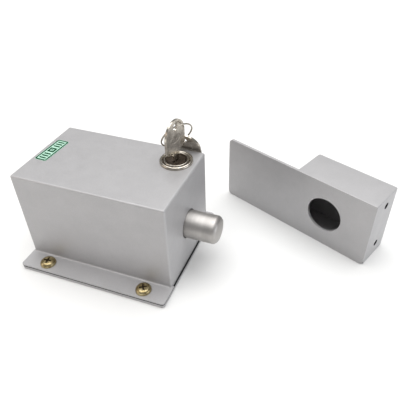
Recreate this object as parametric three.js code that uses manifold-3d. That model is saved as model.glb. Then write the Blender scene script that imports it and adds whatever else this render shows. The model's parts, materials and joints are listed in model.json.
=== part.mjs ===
// Solenoid bolt lock with key override, and the strike box that its bolt shoots into.
// Millimetres, +Z up. Origin: centre of the lock's base plate, on its underside.
// +X is the way the bolt shoots, +Y is the back of the housing.
import * as THREE from 'three';
import { mergeVertices } from 'three/addons/utils/BufferGeometryUtils.js';
import Module from 'manifold-3d';

const wasm = await Module();
wasm.setup();

// ---- driving dimensions ----
const base = { length: 111, depth: 98, thick: 2.5, corner: 2 };
// The four holes that take the wall screws.
const wallHole = { radius: 2.25, spots: [[-46, -26], [46, -26], [-20, 26], [46, 26]] };
const gasket = { thick: 0.75 };
const clearance = { close: 0.1, loose: 0.15, turning: 0.25 };     // parts in their holes and slots
const sheet = 1.25;                                // cover sheet
const cover = { left: -55.3, right: 54.5, depth: 68, top: 71.25, bend: 1.3, boltHole: 10.6 };
const flange = { bottom: base.thick + gasket.thick, corner: 2 };
flange.top = flange.bottom + sheet;
const coverScrew = { x: 37.6, y: 42.25, head: 5.4, rise: 3.2, shank: 2.3, hole: 2.6 };

const innerScrew = { head: 3, rise: 1.6, shank: 1.5, hole: 1.8 };

const boltAxis = { y: 0, z: 34 };
const bolt = { radius: 10, rear: 9.5, tip: 77, chamfer: 2.25, slotEnd: 21.5, slot: 5.4 };
const tongue = { thick: 4.8, end: 19.5, high: 9 };
const plunger = { radius: 6, inner: -24, shoulder: 7.5 };
const linkPin = { x: 15, radius: 2, half: 9.2 };
const dog = { x: 40, radius: 2.5, foot: 40, top: 52.5 };

const carrier = { rear: 11.75, front: 52, wall: 3, half: 15, top: 47, bore: 10.35 };
const coilFrame = { rear: -53.5, front: -18.5, wall: 3, half: 18, top: 54, bore: 6.5 };
const bobbin = { bore: 6.6, tube: 8, rim: 16.8, rimThick: 1.5 };
const coilRadius = 16;
const coreStop = { radius: 6.2, front: -46.4, spigot: 3.2 };
const spring = { radius: 8.2, wire: 0.55, turns: 5, stepsPerTurn: 16 };

const lockAxis = { x: 39.8, y: 17.6 };
const bezel = { radius: 11.5, rise: 2, well: 7.6, wellDepth: 1.2 };
const barrel = { radius: 9.4, bottom: 52.5, bore: 6.6, hole: 9.6 };
const plug = { radius: 6.35, bottom: 51.8, square: 5 };
const cam = { bottom: 49.5, thick: 2, half: 3.5, hub: 6, reach: 23, rest: 22 };
const nut = { flats: 24, top: 68.9, thick: 4.4 };
const washer = { radius: 12.4, thick: 0.9 };

const key = {
  yaw: -8, thick: 1.6, headWidth: 22.4, headHeight: 22.8, bladeWidth: 7, bladeLength: 26,
  holeDrop: 5, hole: 2.5, headBottom: 79.5,
};
const spare = { yaw: 0, tilt: 20, x: 39.5, y: 32.25, z: 80 };   // centre of its hole; the bow leans forward
const ring = { radius: 11.5, wire: 0.5, lean: [-0.695, -0.556, -0.457] };

const strike = {
  corner: [55.83, 84.89], yaw: -23.06, length: 129.6, height: 54.2, depth: 30.2,
  plate: 2, gap: 0.3, wall: 1.5, boxLength: 64, bend: 4, boxBend: 1.5,
  holeU: 92.65, holeZ: 26.95, holeRadius: 13.75, endHole: 2.5, endHoles: [11.4, 46.3], endHoleDepth: 16,
};
const label = { x: -47.5, y: 1.5, width: 9.4, length: 26.6, thick: 0.2, turn: -2.6, bend: 1 };
const terminal = {
  x: -36, y: 25.6, length: 21, width: 10.5, high: 11, pitch: 6,
  screwY: 2.4, screwHole: 2, screwDeep: 3.4, leadY: -2.6, leadHole: 1.1, leadDeep: 5,
};
const leadRadius = 0.7;
const grommet = { y: 25.6, z: 16, collar: 5.6, neck: 4.1, lip: 5, bore: 2.4, rise: 1.6 };
const round = { small: 16, middle: 32, large: 56 };       // sides of a round shape

// ---- materials ----
const finish = (color, roughness, metalness) => new THREE.MeshStandardMaterial({
  color, roughness, metalness,
});
const paint = () => finish('#b4b5b5', 0.42, 0.15);
const rubber = () => finish('#17181a', 0.8, 0);
const zincYellow = () => finish('#b9a05c', 0.35, 1);
const turnedSteel = () => finish('#c4c2bf', 0.25, 1);
const zincSteel = () => finish('#a9adb0', 0.38, 1);
const nickel = () => finish('#b7b1a6', 0.22, 1);
const brass = () => finish('#b08d4a', 0.35, 1);
const tape = () => finish('#a8521d', 0.5, 0);
const nylon = () => finish('#22252a', 0.55, 0);
const copperLead = () => finish('#a3201c', 0.5, 0);
const print = () => finish('#bedccd', 0.5, 0);

// ---- solids ----
const degrees = THREE.MathUtils.degToRad;

// A closed three.js geometry becomes a solid that can be joined and cut.
function solid(geometry) {
  const plain = geometry.clone();
  plain.deleteAttribute('normal');
  plain.deleteAttribute('uv');
  const merged = mergeVertices(plain, 1e-5);
  return new wasm.Manifold(new wasm.Mesh({
    numProp: 3,
    vertProperties: new Float32Array(merged.attributes.position.array),
    triVerts: new Uint32Array(merged.index.array),
  }));
}

function geometryOf(body) {
  const mesh = body.getMesh();
  const geometry = new THREE.BufferGeometry();
  geometry.setAttribute('position', new THREE.BufferAttribute(new Float32Array(mesh.vertProperties), 3));
  geometry.setIndex(new THREE.BufferAttribute(new Uint32Array(mesh.triVerts), 1));
  geometry.computeVertexNormals();
  return geometry;
}

function block([x0, x1], [y0, y1], [z0, z1], turn = 0) {
  const geometry = new THREE.BoxGeometry(x1 - x0, y1 - y0, z1 - z0);
  geometry.translate((x0 + x1) / 2, (y0 + y1) / 2, (z0 + z1) / 2);
  geometry.rotateZ(degrees(turn));
  return solid(geometry);
}

// Turns a shape drawn in its own plane so that its depth runs along a row axis.
const axisX = new THREE.Vector3(1, 0, 0);
const axisY = new THREE.Vector3(0, 1, 0);
const axisZ = new THREE.Vector3(0, 0, 1);
const along = {
  x: new THREE.Matrix4().makeBasis(axisY, axisZ, axisX),
  y: new THREE.Matrix4().makeBasis(axisZ, axisX, axisY),
  z: new THREE.Matrix4().makeBasis(axisX, axisY, axisZ),
};

function prism(shape, axis, from, to, curveSegments = 2) {
  const geometry = new THREE.ExtrudeGeometry(shape, { depth: to - from, bevelEnabled: false, curveSegments });
  geometry.translate(0, 0, from);
  geometry.applyMatrix4(along[axis]);
  return solid(geometry);
}

// A round bar along x, y or z. The centre is given in the shape's own two directions.
function bar(axis, [a, b], radius, from, to, sides = round.middle) {
  const geometry = new THREE.CylinderGeometry(radius, radius, to - from, sides);
  geometry.rotateX(Math.PI / 2);
  geometry.translate(a, b, (from + to) / 2);
  geometry.applyMatrix4(along[axis]);
  return solid(geometry);
}

// A body turned about a line along x, y or z; the outline of [radius, height] runs up from the axis.
function turned(outline, sides = round.middle, axis = 'z', centre = [0, 0, 0]) {
  const points = outline.map(([r, height]) => new THREE.Vector2(r, height));
  const geometry = new THREE.LatheGeometry(points, sides);
  geometry.rotateX(Math.PI / 2);
  geometry.applyMatrix4(along[axis]);
  geometry.translate(...centre);
  return solid(geometry);
}

// A round wire along a curve, with six sides.
function tube(path, radius, steps) {
  const section = new THREE.Shape();
  section.absarc(0, 0, radius, 0, Math.PI * 2);
  return solid(new THREE.ExtrudeGeometry(section, {
    extrudePath: path, steps, curveSegments: 3, bevelEnabled: false,
  }));
}

function roundedRect([a0, a1], [b0, b1], r) {
  const shape = new THREE.Shape();
  shape.absarc(a1 - r, b0 + r, r, -Math.PI / 2, 0);
  shape.absarc(a1 - r, b1 - r, r, 0, Math.PI / 2);
  shape.absarc(a0 + r, b1 - r, r, Math.PI / 2, Math.PI);
  shape.absarc(a0 + r, b0 + r, r, Math.PI, Math.PI * 1.5);
  shape.closePath();
  return shape;
}

const lock = new THREE.Group();

function add(name, material, body, parent = lock) {
  const mesh = new THREE.Mesh(geometryOf(body), material);
  mesh.name = name;
  parent.add(mesh);
  return mesh;
}

// ---- housing: base plate, gasket, folded cover and its four screws ----
const corners = [[-1, -1], [1, -1], [-1, 1], [1, 1]];
const screwSpots = corners.map(([sx, sy]) => [sx * coverScrew.x, sy * coverScrew.y]);
const carrierScrewSpots = [[22, 0], [41, 0]];
const frameScrewSpots = [[-44, 0], [-28, 0]];
const halfLength = base.length / 2;
const halfDepth = base.depth / 2;

function drilled(body, spots, radius, from, to) {
  return spots.reduce((cut, spot) => cut.subtract(bar('z', spot, radius, from, to, round.small)), body);
}

function basePlate() {
  const outline = roundedRect([-halfLength, halfLength], [-halfDepth, halfDepth], base.corner);
  const plate = prism(outline, 'z', 0, base.thick);
  const tapped = drilled(plate, screwSpots, coverScrew.hole, -1, base.thick + 1);
  const innerSpots = [...carrierScrewSpots, ...frameScrewSpots];
  const pierced = drilled(tapped, innerSpots, innerScrew.hole, -1, base.thick + 1);
  return drilled(pierced, wallHole.spots, wallHole.radius, -1, base.thick + 1);
}

function coverGasket() {
  const outline = roundedRect([-halfLength, halfLength], [-halfDepth, halfDepth], base.corner);
  const strip = prism(outline, 'z', base.thick, flange.bottom);
  const open = block(
    [cover.left + sheet, cover.right - sheet],
    [-cover.depth / 2 + sheet, cover.depth / 2 - sheet],
    [0, 10],
  );
  return drilled(strip.subtract(open), screwSpots, coverScrew.hole, 0, 10);
}

// The folded box: three rounded prisms meet, so every bend has its radius.
function foldedBox(inset, bottom) {
  const r = Math.max(cover.bend - inset, 0.6);
  const spanX = [cover.left + inset, cover.right - inset];
  const spanY = [-cover.depth / 2 + inset, cover.depth / 2 - inset];
  const spanZ = [-20, cover.top - inset];
  const upright = prism(roundedRect(spanX, spanY, r), 'z', bottom, spanZ[1]);
  const lengthways = prism(roundedRect(spanY, spanZ, r), 'x', spanX[0], spanX[1]);
  const crossways = prism(roundedRect(spanZ, spanX, r), 'y', spanY[0], spanY[1]);
  return upright.intersect(lengthways).intersect(crossways);
}

// A flange's outline: square where it meets the wall, rounded at its two outer corners.
function flangeOutline(side) {
  const inner = cover.depth / 2 - sheet;
  const r = flange.corner;
  const start = side < 0 ? Math.PI : 0;
  const shape = new THREE.Shape();
  shape.moveTo(side * halfLength, side * inner);
  shape.absarc(side * (halfLength - r), side * (halfDepth - r), r, start, start + Math.PI / 2);
  shape.absarc(-side * (halfLength - r), side * (halfDepth - r), r, start + Math.PI / 2, start + Math.PI);
  shape.lineTo(-side * halfLength, side * inner);
  shape.closePath();
  return shape;
}

function foldedCover() {
  const flanges = [-1, 1].map((side) => prism(flangeOutline(side), 'z', flange.bottom, flange.top));
  const shell = flanges.reduce((body, strip) => body.add(strip), foldedBox(0, flange.bottom));
  const hollow = shell.subtract(foldedBox(sheet, -10));
  const bolted = hollow.subtract(bar('x', [boltAxis.y, boltAxis.z], cover.boltHole, 45, 60, round.large));
  const locked = bolted.subtract(bar('z', [lockAxis.x, lockAxis.y], barrel.hole, 60, 80, round.middle));
  const leadHole = grommet.neck + clearance.loose;
  const wired = locked.subtract(bar('x', [grommet.y, grommet.z], leadHole, -60, -50, round.small));
  return drilled(wired, screwSpots, coverScrew.hole, 0, 10);
}

// A pan head's profile as parts of its radius and height.
const panForm = { rim: 0.35, shoulder: 0.86, crown: 0.55 };

function panScrew(head, rise, shank, length) {
  return turned([
    [0, -length], [shank, -length], [shank, 0], [head, 0], [head, rise * panForm.rim],
    [head * panForm.shoulder, rise * 0.75], [head * panForm.crown, rise * 0.95], [0, rise],
  ], round.small);
}

function housing() {
  add('base_plate', paint(), basePlate());
  add('cover_gasket', rubber(), coverGasket());
  add('cover', paint(), foldedCover());
  screwSpots.forEach(([x, y], i) => {
    const screw = add(`cover_screw_${i + 1}`, zincYellow(),
      panScrew(coverScrew.head, coverScrew.rise, coverScrew.shank, flange.top - 0.25));
    screw.position.set(x, y, flange.top);
  });
}

// ---- bolt, plunger and the bracket that guides them ----
function boltCarrier() {
  const wide = [-carrier.half, carrier.half];
  const floor = block([carrier.rear, carrier.front], wide, [base.thick, base.thick + carrier.wall]);
  const ear = (x) => block([x, x + carrier.wall], wide, [base.thick, carrier.top]);
  const bracket = floor.add(ear(carrier.rear)).add(ear(carrier.front - carrier.wall));
  const bored = bracket.subtract(bar('x', [boltAxis.y, boltAxis.z], carrier.bore, 0, 60, round.large));
  return drilled(bored, carrierScrewSpots, innerScrew.hole, 0, 10);
}

function boltBody() {
  const { radius, rear, tip, chamfer } = bolt;
  const body = turned([
    [0, rear], [radius - 0.6, rear], [radius, rear + 0.6], [radius, tip - chamfer],
    [radius - chamfer * 0.8, tip], [0, tip],
  ], round.large, 'x', [0, boltAxis.y, boltAxis.z]);
  const slot = block([rear - 5, bolt.slotEnd], [-bolt.slot / 2, bolt.slot / 2], [0, 60]);
  const cross = bar('y', [boltAxis.z, linkPin.x], linkPin.radius + clearance.close, -20, 20, round.small);
  const socket = bar('z', [dog.x, 0], dog.radius + clearance.close, dog.foot - 0.5, 60, round.small);
  return body.subtract(slot).subtract(cross).subtract(socket);
}

function plungerBody() {
  const rod = bar('x', [boltAxis.y, boltAxis.z], plunger.radius, plunger.inner, plunger.shoulder);
  const flat = block([plunger.shoulder - 1, tongue.end], [-tongue.thick / 2, tongue.thick / 2],
    [boltAxis.z - tongue.high / 2, boltAxis.z + tongue.high / 2]);
  const cross = bar('y', [boltAxis.z, linkPin.x], linkPin.radius + clearance.close, -20, 20, round.small);
  return rod.add(flat).subtract(cross);
}

// The return spring: one round wire wound round the plunger, its ends against the steps it pushes on.
function springBody() {
  const from = coilFrame.front + 0.2;
  const to = bolt.rear - 0.2;
  const run = to - from - 2 * spring.wire;
  class Helix extends THREE.Curve {
    getPoint(t, target = new THREE.Vector3()) {
      const angle = t * spring.turns * Math.PI * 2;
      return target.set(
        from + spring.wire + t * run,
        spring.radius * Math.cos(angle),
        boltAxis.z + spring.radius * Math.sin(angle),
      );
    }
  }
  return tube(new Helix(), spring.wire, spring.turns * spring.stepsPerTurn);
}

function lowScrew(spots, name) {
  spots.forEach(([x, y], i) => {
    const screw = add(`${name}_${i + 1}`, zincSteel(),
      panScrew(innerScrew.head, innerScrew.rise, innerScrew.shank, carrier.wall + base.thick - 0.6));
    screw.position.set(x, y, base.thick + carrier.wall);
  });
}

function boltTrain() {
  add('bolt_carrier', zincSteel(), boltCarrier());
  add('bolt', turnedSteel(), boltBody());
  add('plunger', zincSteel(), plungerBody());
  add('link_pin', zincSteel(),
    bar('y', [boltAxis.z, linkPin.x], linkPin.radius, -linkPin.half, linkPin.half, round.small));
  add('release_pin', zincSteel(), bar('z', [dog.x, 0], dog.radius, dog.foot, dog.top, round.small));
  add('bolt_spring', turnedSteel(), springBody());
}

// ---- solenoid ----
function solenoidFrame() {
  const { rear, front, wall, half, top } = coilFrame;
  const floor = block([rear, front], [-half, half], [base.thick, base.thick + wall]);
  const cheek = (x) => block([x, x + wall], [-half, half], [base.thick, top]);
  const bracket = floor.add(cheek(rear)).add(cheek(front - wall));
  const centre = [boltAxis.y, boltAxis.z];
  const bored = bracket.subtract(bar('x', centre, coilFrame.bore, front - wall - 1, front + 1));
  const pinHole = coreStop.spigot + clearance.loose;
  const pinned = bored.subtract(bar('x', centre, pinHole, rear - 1, rear + wall + 1));
  return drilled(pinned, frameScrewSpots, innerScrew.hole, 0, 10);
}

const coilSpan = [coilFrame.rear + coilFrame.wall + 0.1, coilFrame.front - coilFrame.wall - 0.1];

function tubeX(inner, outer, from, to) {
  const centre = [boltAxis.y, boltAxis.z];
  return bar('x', centre, outer, from, to).subtract(bar('x', centre, inner, from - 1, to + 1));
}

function bobbinBody() {
  const [from, to] = coilSpan;
  return tubeX(bobbin.bore, bobbin.tube, from, to)
    .add(tubeX(bobbin.bore, bobbin.rim, from, from + bobbin.rimThick))
    .add(tubeX(bobbin.bore, bobbin.rim, to - bobbin.rimThick, to));
}

function coreStopBody() {
  const centre = [boltAxis.y, boltAxis.z];
  const rear = coilFrame.rear + coilFrame.wall + 0.1;
  return bar('x', centre, coreStop.radius, rear, coreStop.front)
    .add(bar('x', centre, coreStop.spigot, coilFrame.rear - 0.1, rear + 0.5, round.small));
}

function lead(points) {
  return tube(new THREE.CatmullRomCurve3(points.map((p) => new THREE.Vector3(...p))), leadRadius, 22);
}

function terminalBlock() {
  const { x, y, length, width, high } = terminal;
  const top = base.thick + high;
  const body = block([x - length / 2, x + length / 2], [y - width / 2, y + width / 2], [base.thick, top]);
  const { pitch, screwY, screwHole, screwDeep, leadY, leadHole, leadDeep } = terminal;
  const entries = [-pitch, pitch].flatMap((dx) => [
    bar('z', [x + dx, y + screwY], screwHole, top - screwDeep, top + 1, round.small),
    bar('z', [x + dx, y + leadY], leadHole, top - leadDeep, top + 1, round.small),
  ]);
  return entries.reduce((cut, entry) => cut.subtract(entry), body);
}

function solenoid() {
  const [from, to] = coilSpan;
  const rim = bobbin.rimThick + 0.1;
  const top = base.thick + terminal.high;
  add('solenoid_frame', zincSteel(), solenoidFrame());
  add('bobbin', nylon(), bobbinBody());
  add('coil', tape(), tubeX(bobbin.tube + 0.1, coilRadius, from + rim, to - rim));
  add('core_stop', zincSteel(), coreStopBody());
  lowScrew(frameScrewSpots, 'solenoid_screw');
  lowScrew(carrierScrewSpots, 'carrier_screw');
  add('terminal_block', nylon(), terminalBlock());
  [-terminal.pitch, terminal.pitch].forEach((dx, i) => {
    const screw = add(`terminal_screw_${i + 1}`, brass(), panScrew(1.7, 0.7, 1, 1.6));
    screw.position.set(terminal.x + dx, terminal.y + terminal.screwY, top - 1.6);
    const foot = [terminal.x + dx, terminal.y + terminal.leadY, top - 4];
    add(`coil_lead_${i + 1}`, copperLead(), lead([
      [terminal.x + dx * 0.6, 16.4, 36], [terminal.x + dx * 0.6, 19.6, 36], [terminal.x + dx * 0.8, 22, 30],
      [terminal.x + dx, 23, 21], [foot[0], foot[1], foot[2] + 7], foot,
    ]));
  });
}

// ---- key cylinder ----
function cylinderBody() {
  const top = cover.top + bezel.rise;
  const body = turned([
    [0, barrel.bottom], [barrel.radius, barrel.bottom], [barrel.radius, cover.top], [bezel.radius, cover.top],
    [bezel.radius, top - 0.9], [bezel.radius - 0.9, top], [0, top],
  ], round.large, 'z', [lockAxis.x, lockAxis.y, 0]);
  const centre = [lockAxis.x, lockAxis.y];
  return body
    .subtract(bar('z', centre, barrel.bore, 40, 90))
    .subtract(bar('z', centre, bezel.well, top - bezel.wellDepth, 90));
}

// Everything on the plug turns about the cylinder's axis, so it is drawn about the origin of its own group.
const plugGroup = new THREE.Group();
plugGroup.position.set(lockAxis.x, lockAxis.y, 0);
plugGroup.rotation.z = degrees(key.yaw);

const plugTop = cover.top + bezel.rise - bezel.wellDepth + 0.5;

function plugBody() {
  const half = plug.square / 2;
  const body = bar('z', [0, 0], plug.radius, plug.bottom, plugTop)
    .add(block([-half, half], [-half, half], [cam.bottom - 0.3, plug.bottom + 0.5]));
  const bladeHalf = key.bladeWidth / 2 + 0.3;
  const slotHalf = key.thick / 2 + clearance.turning;
  const keyway = block([-slotHalf, slotHalf], [-bladeHalf, bladeHalf],
    [key.headBottom - key.bladeLength - 0.5, 90]);
  return body.subtract(keyway).subtract(bar('z', [0, 0], 1.1, 40, key.headBottom - key.bladeLength - 1.1, 12));
}

const camTurn = cam.rest - key.yaw;                       // the arm's turn from the plug's own square

function camBody() {
  const top = cam.bottom + cam.thick;
  const slotHalf = plug.square / 2 + 0.2;
  return block([-cam.half, cam.half], [-cam.reach, 0], [cam.bottom, top])
    .add(bar('z', [0, 0], cam.hub, cam.bottom, top))
    .add(bar('z', [0, -cam.reach], cam.half, cam.bottom, top, round.small))
    .subtract(block([-slotHalf, slotHalf], [-slotHalf, slotHalf], [40, 60], -camTurn));
}

function hexNut() {
  const corner = nut.flats / Math.sqrt(3);
  const geometry = new THREE.CylinderGeometry(corner, corner, nut.thick, 6);
  geometry.rotateX(Math.PI / 2);
  geometry.translate(lockAxis.x, lockAxis.y, nut.top - nut.thick / 2);
  return solid(geometry).subtract(bar('z', [lockAxis.x, lockAxis.y], barrel.hole, 50, 90));
}

function lockWasher() {
  const centre = [lockAxis.x, lockAxis.y];
  const bottom = nut.top + 0.05;
  return bar('z', centre, washer.radius, bottom, bottom + washer.thick)
    .subtract(bar('z', centre, barrel.hole, 50, 90));
}

// A flat key drawn about the centre of its ring hole: the bow stands round it and the blade points down.
function keyBody() {
  const top = key.holeDrop;
  const bottom = top - key.headHeight;
  const half = key.headWidth / 2;
  const bladeHalf = key.bladeWidth / 2;
  const shape = new THREE.Shape();
  const tip = bottom - key.bladeLength;
  shape.moveTo(-bladeHalf + 2, tip);
  shape.lineTo(bladeHalf - 2, tip);
  shape.lineTo(bladeHalf, tip + 3);
  shape.lineTo(bladeHalf, bottom);
  shape.absarc(half - 4, bottom + 4, 4, -Math.PI / 2, 0);
  shape.absarc(0, top - half, half, 0, Math.PI);
  shape.absarc(-half + 4, bottom + 4, 4, Math.PI, Math.PI * 1.5);
  shape.lineTo(-bladeHalf, bottom);
  shape.lineTo(-bladeHalf, tip + 3);
  shape.closePath();
  return prism(shape, 'x', -key.thick / 2, key.thick / 2, 5)
    .subtract(bar('x', [0, 0], key.hole, -5, 5, round.small));
}

const keyHoleZ = key.headBottom + key.headHeight - key.holeDrop;

// The ring is the circle that runs through both key holes, leaning back and down from the first one.
function keyRing() {
  const first = new THREE.Vector3(lockAxis.x, lockAxis.y, keyHoleZ);
  const second = new THREE.Vector3(spare.x, spare.y, spare.z);
  const chord = second.clone().sub(first);
  const halfChord = chord.length() / 2;
  chord.normalize();
  const lean = new THREE.Vector3(...ring.lean);
  lean.addScaledVector(chord, -lean.dot(chord)).normalize();
  const offset = Math.sqrt(ring.radius ** 2 - halfChord ** 2);
  const centre = first.clone().add(second).multiplyScalar(0.5).addScaledVector(lean, offset);
  const normal = new THREE.Vector3().crossVectors(chord, lean);
  const mesh = new THREE.Mesh(new THREE.TorusGeometry(ring.radius, ring.wire, 6, 56), nickel());
  mesh.name = 'key_ring';
  mesh.quaternion.setFromUnitVectors(axisZ, normal);
  mesh.position.copy(centre);
  lock.add(mesh);
}

function keys() {
  const inUse = add('key', nickel(), keyBody(), plugGroup);
  inUse.position.z = keyHoleZ;
  const second = add('spare_key', nickel(), keyBody());
  second.rotation.set(degrees(spare.tilt), 0, degrees(90 + spare.yaw));
  second.position.set(spare.x, spare.y, spare.z);
  keyRing();
}

function keyCylinder() {
  add('lock_cylinder', nickel(), cylinderBody());
  add('cylinder_nut', nickel(), hexNut());
  add('cylinder_washer', zincSteel(), lockWasher());
  add('plug', brass(), plugBody(), plugGroup);
  add('cam', zincSteel(), camBody(), plugGroup).rotation.z = degrees(camTurn);
  const screw = add('cam_screw', zincSteel(), panScrew(3.6, 1.8, 0.9, 3), plugGroup);
  screw.rotation.x = Math.PI;
  screw.position.z = cam.bottom - 0.6;
  lock.add(plugGroup);
  keys();
}

// ---- small pieces on the cover ----
function trim() {
  const half = [label.width / 2, label.length / 2];
  const plate = add('label', print(),
    prism(roundedRect([-half[0], half[0]], [-half[1], half[1]], label.bend), 'z', 0, label.thick));
  plate.rotation.z = degrees(label.turn);
  plate.position.set(label.x, label.y, cover.top);
  const inner = sheet + 0.1;
  const seal = turned([
    [0, -grommet.rise], [grommet.collar - 0.8, -grommet.rise], [grommet.collar, -0.1], [grommet.neck, -0.1],
    [grommet.neck, inner], [grommet.lip, inner], [grommet.lip, inner + 1.1], [0, inner + 1.1],
  ], 24, 'x', [cover.left, grommet.y, grommet.z]);
  add('cable_grommet', rubber(),
    seal.subtract(bar('x', [grommet.y, grommet.z], grommet.bore, cover.left - 5, cover.left + 8, 16)));
}

// ---- strike: a face plate with the bolt hole, and the folded box behind it ----
// Drawn with its own x along the plate, y to the back and z up, then turned to where it stands.
const strikeGroup = new THREE.Group();

function strikePlate() {
  const outline = roundedRect([0, strike.height], [0, strike.length], strike.bend);
  return prism(outline, 'y', 0, strike.plate)
    .subtract(bar('y', [strike.holeZ, strike.holeU], strike.holeRadius, -5, 10, round.large));
}

function strikeBox() {
  const left = strike.length - strike.boxLength;
  const shell = (inset) => prism(
    roundedRect([left + inset, strike.length - inset], [-10, strike.depth - inset], strike.boxBend),
    'z', inset, strike.height - inset,
  );
  const front = strike.plate + strike.gap;
  const ahead = block([left - 5, strike.length + 5], [-20, front], [-5, strike.height + 5]);
  const box = shell(0).subtract(shell(strike.wall)).subtract(ahead);
  return strike.endHoles.reduce((cut, z) => cut.subtract(
    bar('x', [strike.endHoleDepth, z], strike.endHole, strike.length - 5, strike.length + 5, round.small),
  ), box);
}

function strikeAssembly() {
  add('strike_plate', paint(), strikePlate(), strikeGroup);
  add('strike_box', paint(), strikeBox(), strikeGroup);
  strikeGroup.position.set(strike.corner[0], strike.corner[1], 0);
  strikeGroup.rotation.z = degrees(strike.yaw);
  lock.add(strikeGroup);
}

housing();
boltTrain();
solenoid();
keyCylinder();
trim();
strikeAssembly();

export default lock;
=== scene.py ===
import json
import math

import bmesh
import bpy
from mathutils import Matrix, Vector


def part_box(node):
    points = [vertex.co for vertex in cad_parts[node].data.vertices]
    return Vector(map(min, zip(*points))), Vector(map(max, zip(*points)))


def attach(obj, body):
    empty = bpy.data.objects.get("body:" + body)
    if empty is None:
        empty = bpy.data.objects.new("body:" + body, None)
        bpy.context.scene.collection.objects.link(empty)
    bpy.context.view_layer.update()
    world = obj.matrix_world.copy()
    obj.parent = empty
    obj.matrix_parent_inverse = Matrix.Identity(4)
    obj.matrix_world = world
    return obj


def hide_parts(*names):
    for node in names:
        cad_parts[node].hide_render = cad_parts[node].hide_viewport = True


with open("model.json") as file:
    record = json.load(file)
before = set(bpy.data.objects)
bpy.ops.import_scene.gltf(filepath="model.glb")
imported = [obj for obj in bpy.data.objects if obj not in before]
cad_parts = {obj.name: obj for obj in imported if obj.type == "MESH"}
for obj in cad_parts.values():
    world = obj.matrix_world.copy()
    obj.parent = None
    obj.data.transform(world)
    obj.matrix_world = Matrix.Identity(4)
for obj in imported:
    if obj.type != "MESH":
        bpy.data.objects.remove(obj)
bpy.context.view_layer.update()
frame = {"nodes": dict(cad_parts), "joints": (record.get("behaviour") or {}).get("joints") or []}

mm = 0.001
axes = {"x": Vector((1, 0, 0)), "y": Vector((0, 1, 0)), "z": Vector((0, 0, 1))}
joints = {joint["name"]: joint for joint in frame["joints"]}


def place(*values):
    return Vector(values) * mm


# Camera, floor and light

camera = {
    "position": (151.6, -214.8, 241.7),
    "target": (67.86, 36.78, 30.0),
    "roll": 0.6,               # degrees
    "lens": 40.63,
    "sensor": 36,
    "shift": (-0.0604, 0.0015),
    "clip": (0.01, 20),        # m
}
studio = {
    "worldStrength": 0.27,
    "backdropStrength": 1.1,   # what the camera sees past the floor's end
    "floorColour": "#ececeb",
    "floorRoughness": 0.9,
    "floorSize": 6000,
}
softboxes = {                  # position, target and size in mm, strength in W, colour
    "leftWarm": ((-800, -500, 420), (0, 0, 30), (600, 500), 1.4, "#ffeedd"),
    "rightCool": ((850, -60, 160), (60, 0, 20), (500, 300), 1.2, "#f1f6ff"),
}
ceiling = {                    # a wide soft light from overhead
    "position": (40, 120, 900),
    "target": (60, 30, 0),
    "strength": 3.25,
    "spread": 70,              # degrees
}


def linear(code):
    levels = [int(code[i:i + 2], 16) / 255 for i in (1, 3, 5)]
    return tuple(v / 12.92 if v <= 0.04045 else ((v + 0.055) / 1.055) ** 2.4 for v in levels) + (1.0,)


def lookFrom(position, target, roll=0.0):
    turn = (target - position).to_track_quat("-Z", "Y").to_matrix().to_4x4()
    return Matrix.Translation(position) @ turn @ Matrix.Rotation(math.radians(roll), 4, "Z")


def addNode(tree, kind, inputs=None, stops=None, **settings):
    node = tree.nodes.new("ShaderNode" + kind)
    for name, value in settings.items():
        setattr(node, name, value)
    for name, value in (inputs or {}).items():
        if isinstance(value, bpy.types.NodeSocket):
            tree.links.new(value, node.inputs[name])
        else:
            node.inputs[name].default_value = value
    for i, (position, colour) in enumerate(stops or []):
        element = node.color_ramp.elements[i] if i < 2 else node.color_ramp.elements.new(position)
        element.position, element.color = position, colour
    return node


def buildCamera():
    data = bpy.data.cameras.new("camera")
    data.lens, data.sensor_width = camera["lens"], camera["sensor"]
    data.shift_x, data.shift_y = camera["shift"]
    data.clip_start, data.clip_end = camera["clip"]
    rig = bpy.data.objects.new("camera", data)
    rig.matrix_world = lookFrom(place(*camera["position"]), place(*camera["target"]), camera["roll"])
    bpy.context.scene.collection.objects.link(rig)
    bpy.context.scene.camera = rig


def buildStudio():
    scene = bpy.context.scene
    scene.view_settings.view_transform = "Standard"
    world = bpy.data.worlds.new("studio")
    scene.world = world
    world.use_nodes = True
    background = world.node_tree.nodes["Background"]
    background.inputs["Color"].default_value = (1, 1, 1, 1)
    direct = addNode(world.node_tree, "LightPath").outputs["Is Camera Ray"]
    strength = addNode(world.node_tree, "MapRange", {
        "Value": direct, "To Min": studio["worldStrength"], "To Max": studio["backdropStrength"]})
    world.node_tree.links.new(strength.outputs["Result"], background.inputs["Strength"])
    bm = bmesh.new()
    bmesh.ops.create_grid(bm, x_segments=1, y_segments=1, size=studio["floorSize"] / 2 * mm)
    mesh = bpy.data.meshes.new("floor")
    bm.to_mesh(mesh)
    bm.free()
    floor = bpy.data.objects.new("floor", mesh)
    material = bpy.data.materials.new("pale paper")
    material.use_nodes = True
    shader = material.node_tree.nodes["Principled BSDF"]
    shader.inputs["Base Color"].default_value = linear(studio["floorColour"])
    shader.inputs["Roughness"].default_value = studio["floorRoughness"]
    mesh.materials.append(material)
    scene.collection.objects.link(floor)
    for name, (position, target, size, strength, colour) in softboxes.items():
        light = bpy.data.lights.new(name, "AREA")
        light.shape, light.size, light.size_y = "RECTANGLE", size[0] * mm, size[1] * mm
        light.energy, light.color = strength, linear(colour)[:3]
        box = bpy.data.objects.new(name, light)
        box.matrix_world = lookFrom(place(*position), place(*target))
        scene.collection.objects.link(box)
    light = bpy.data.lights.new("ceiling", "SUN")
    light.energy, light.angle = ceiling["strength"], math.radians(ceiling["spread"])
    panel = bpy.data.objects.new("ceiling", light)
    panel.matrix_world = lookFrom(place(*ceiling["position"]), place(*ceiling["target"]))
    scene.collection.objects.link(panel)


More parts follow.
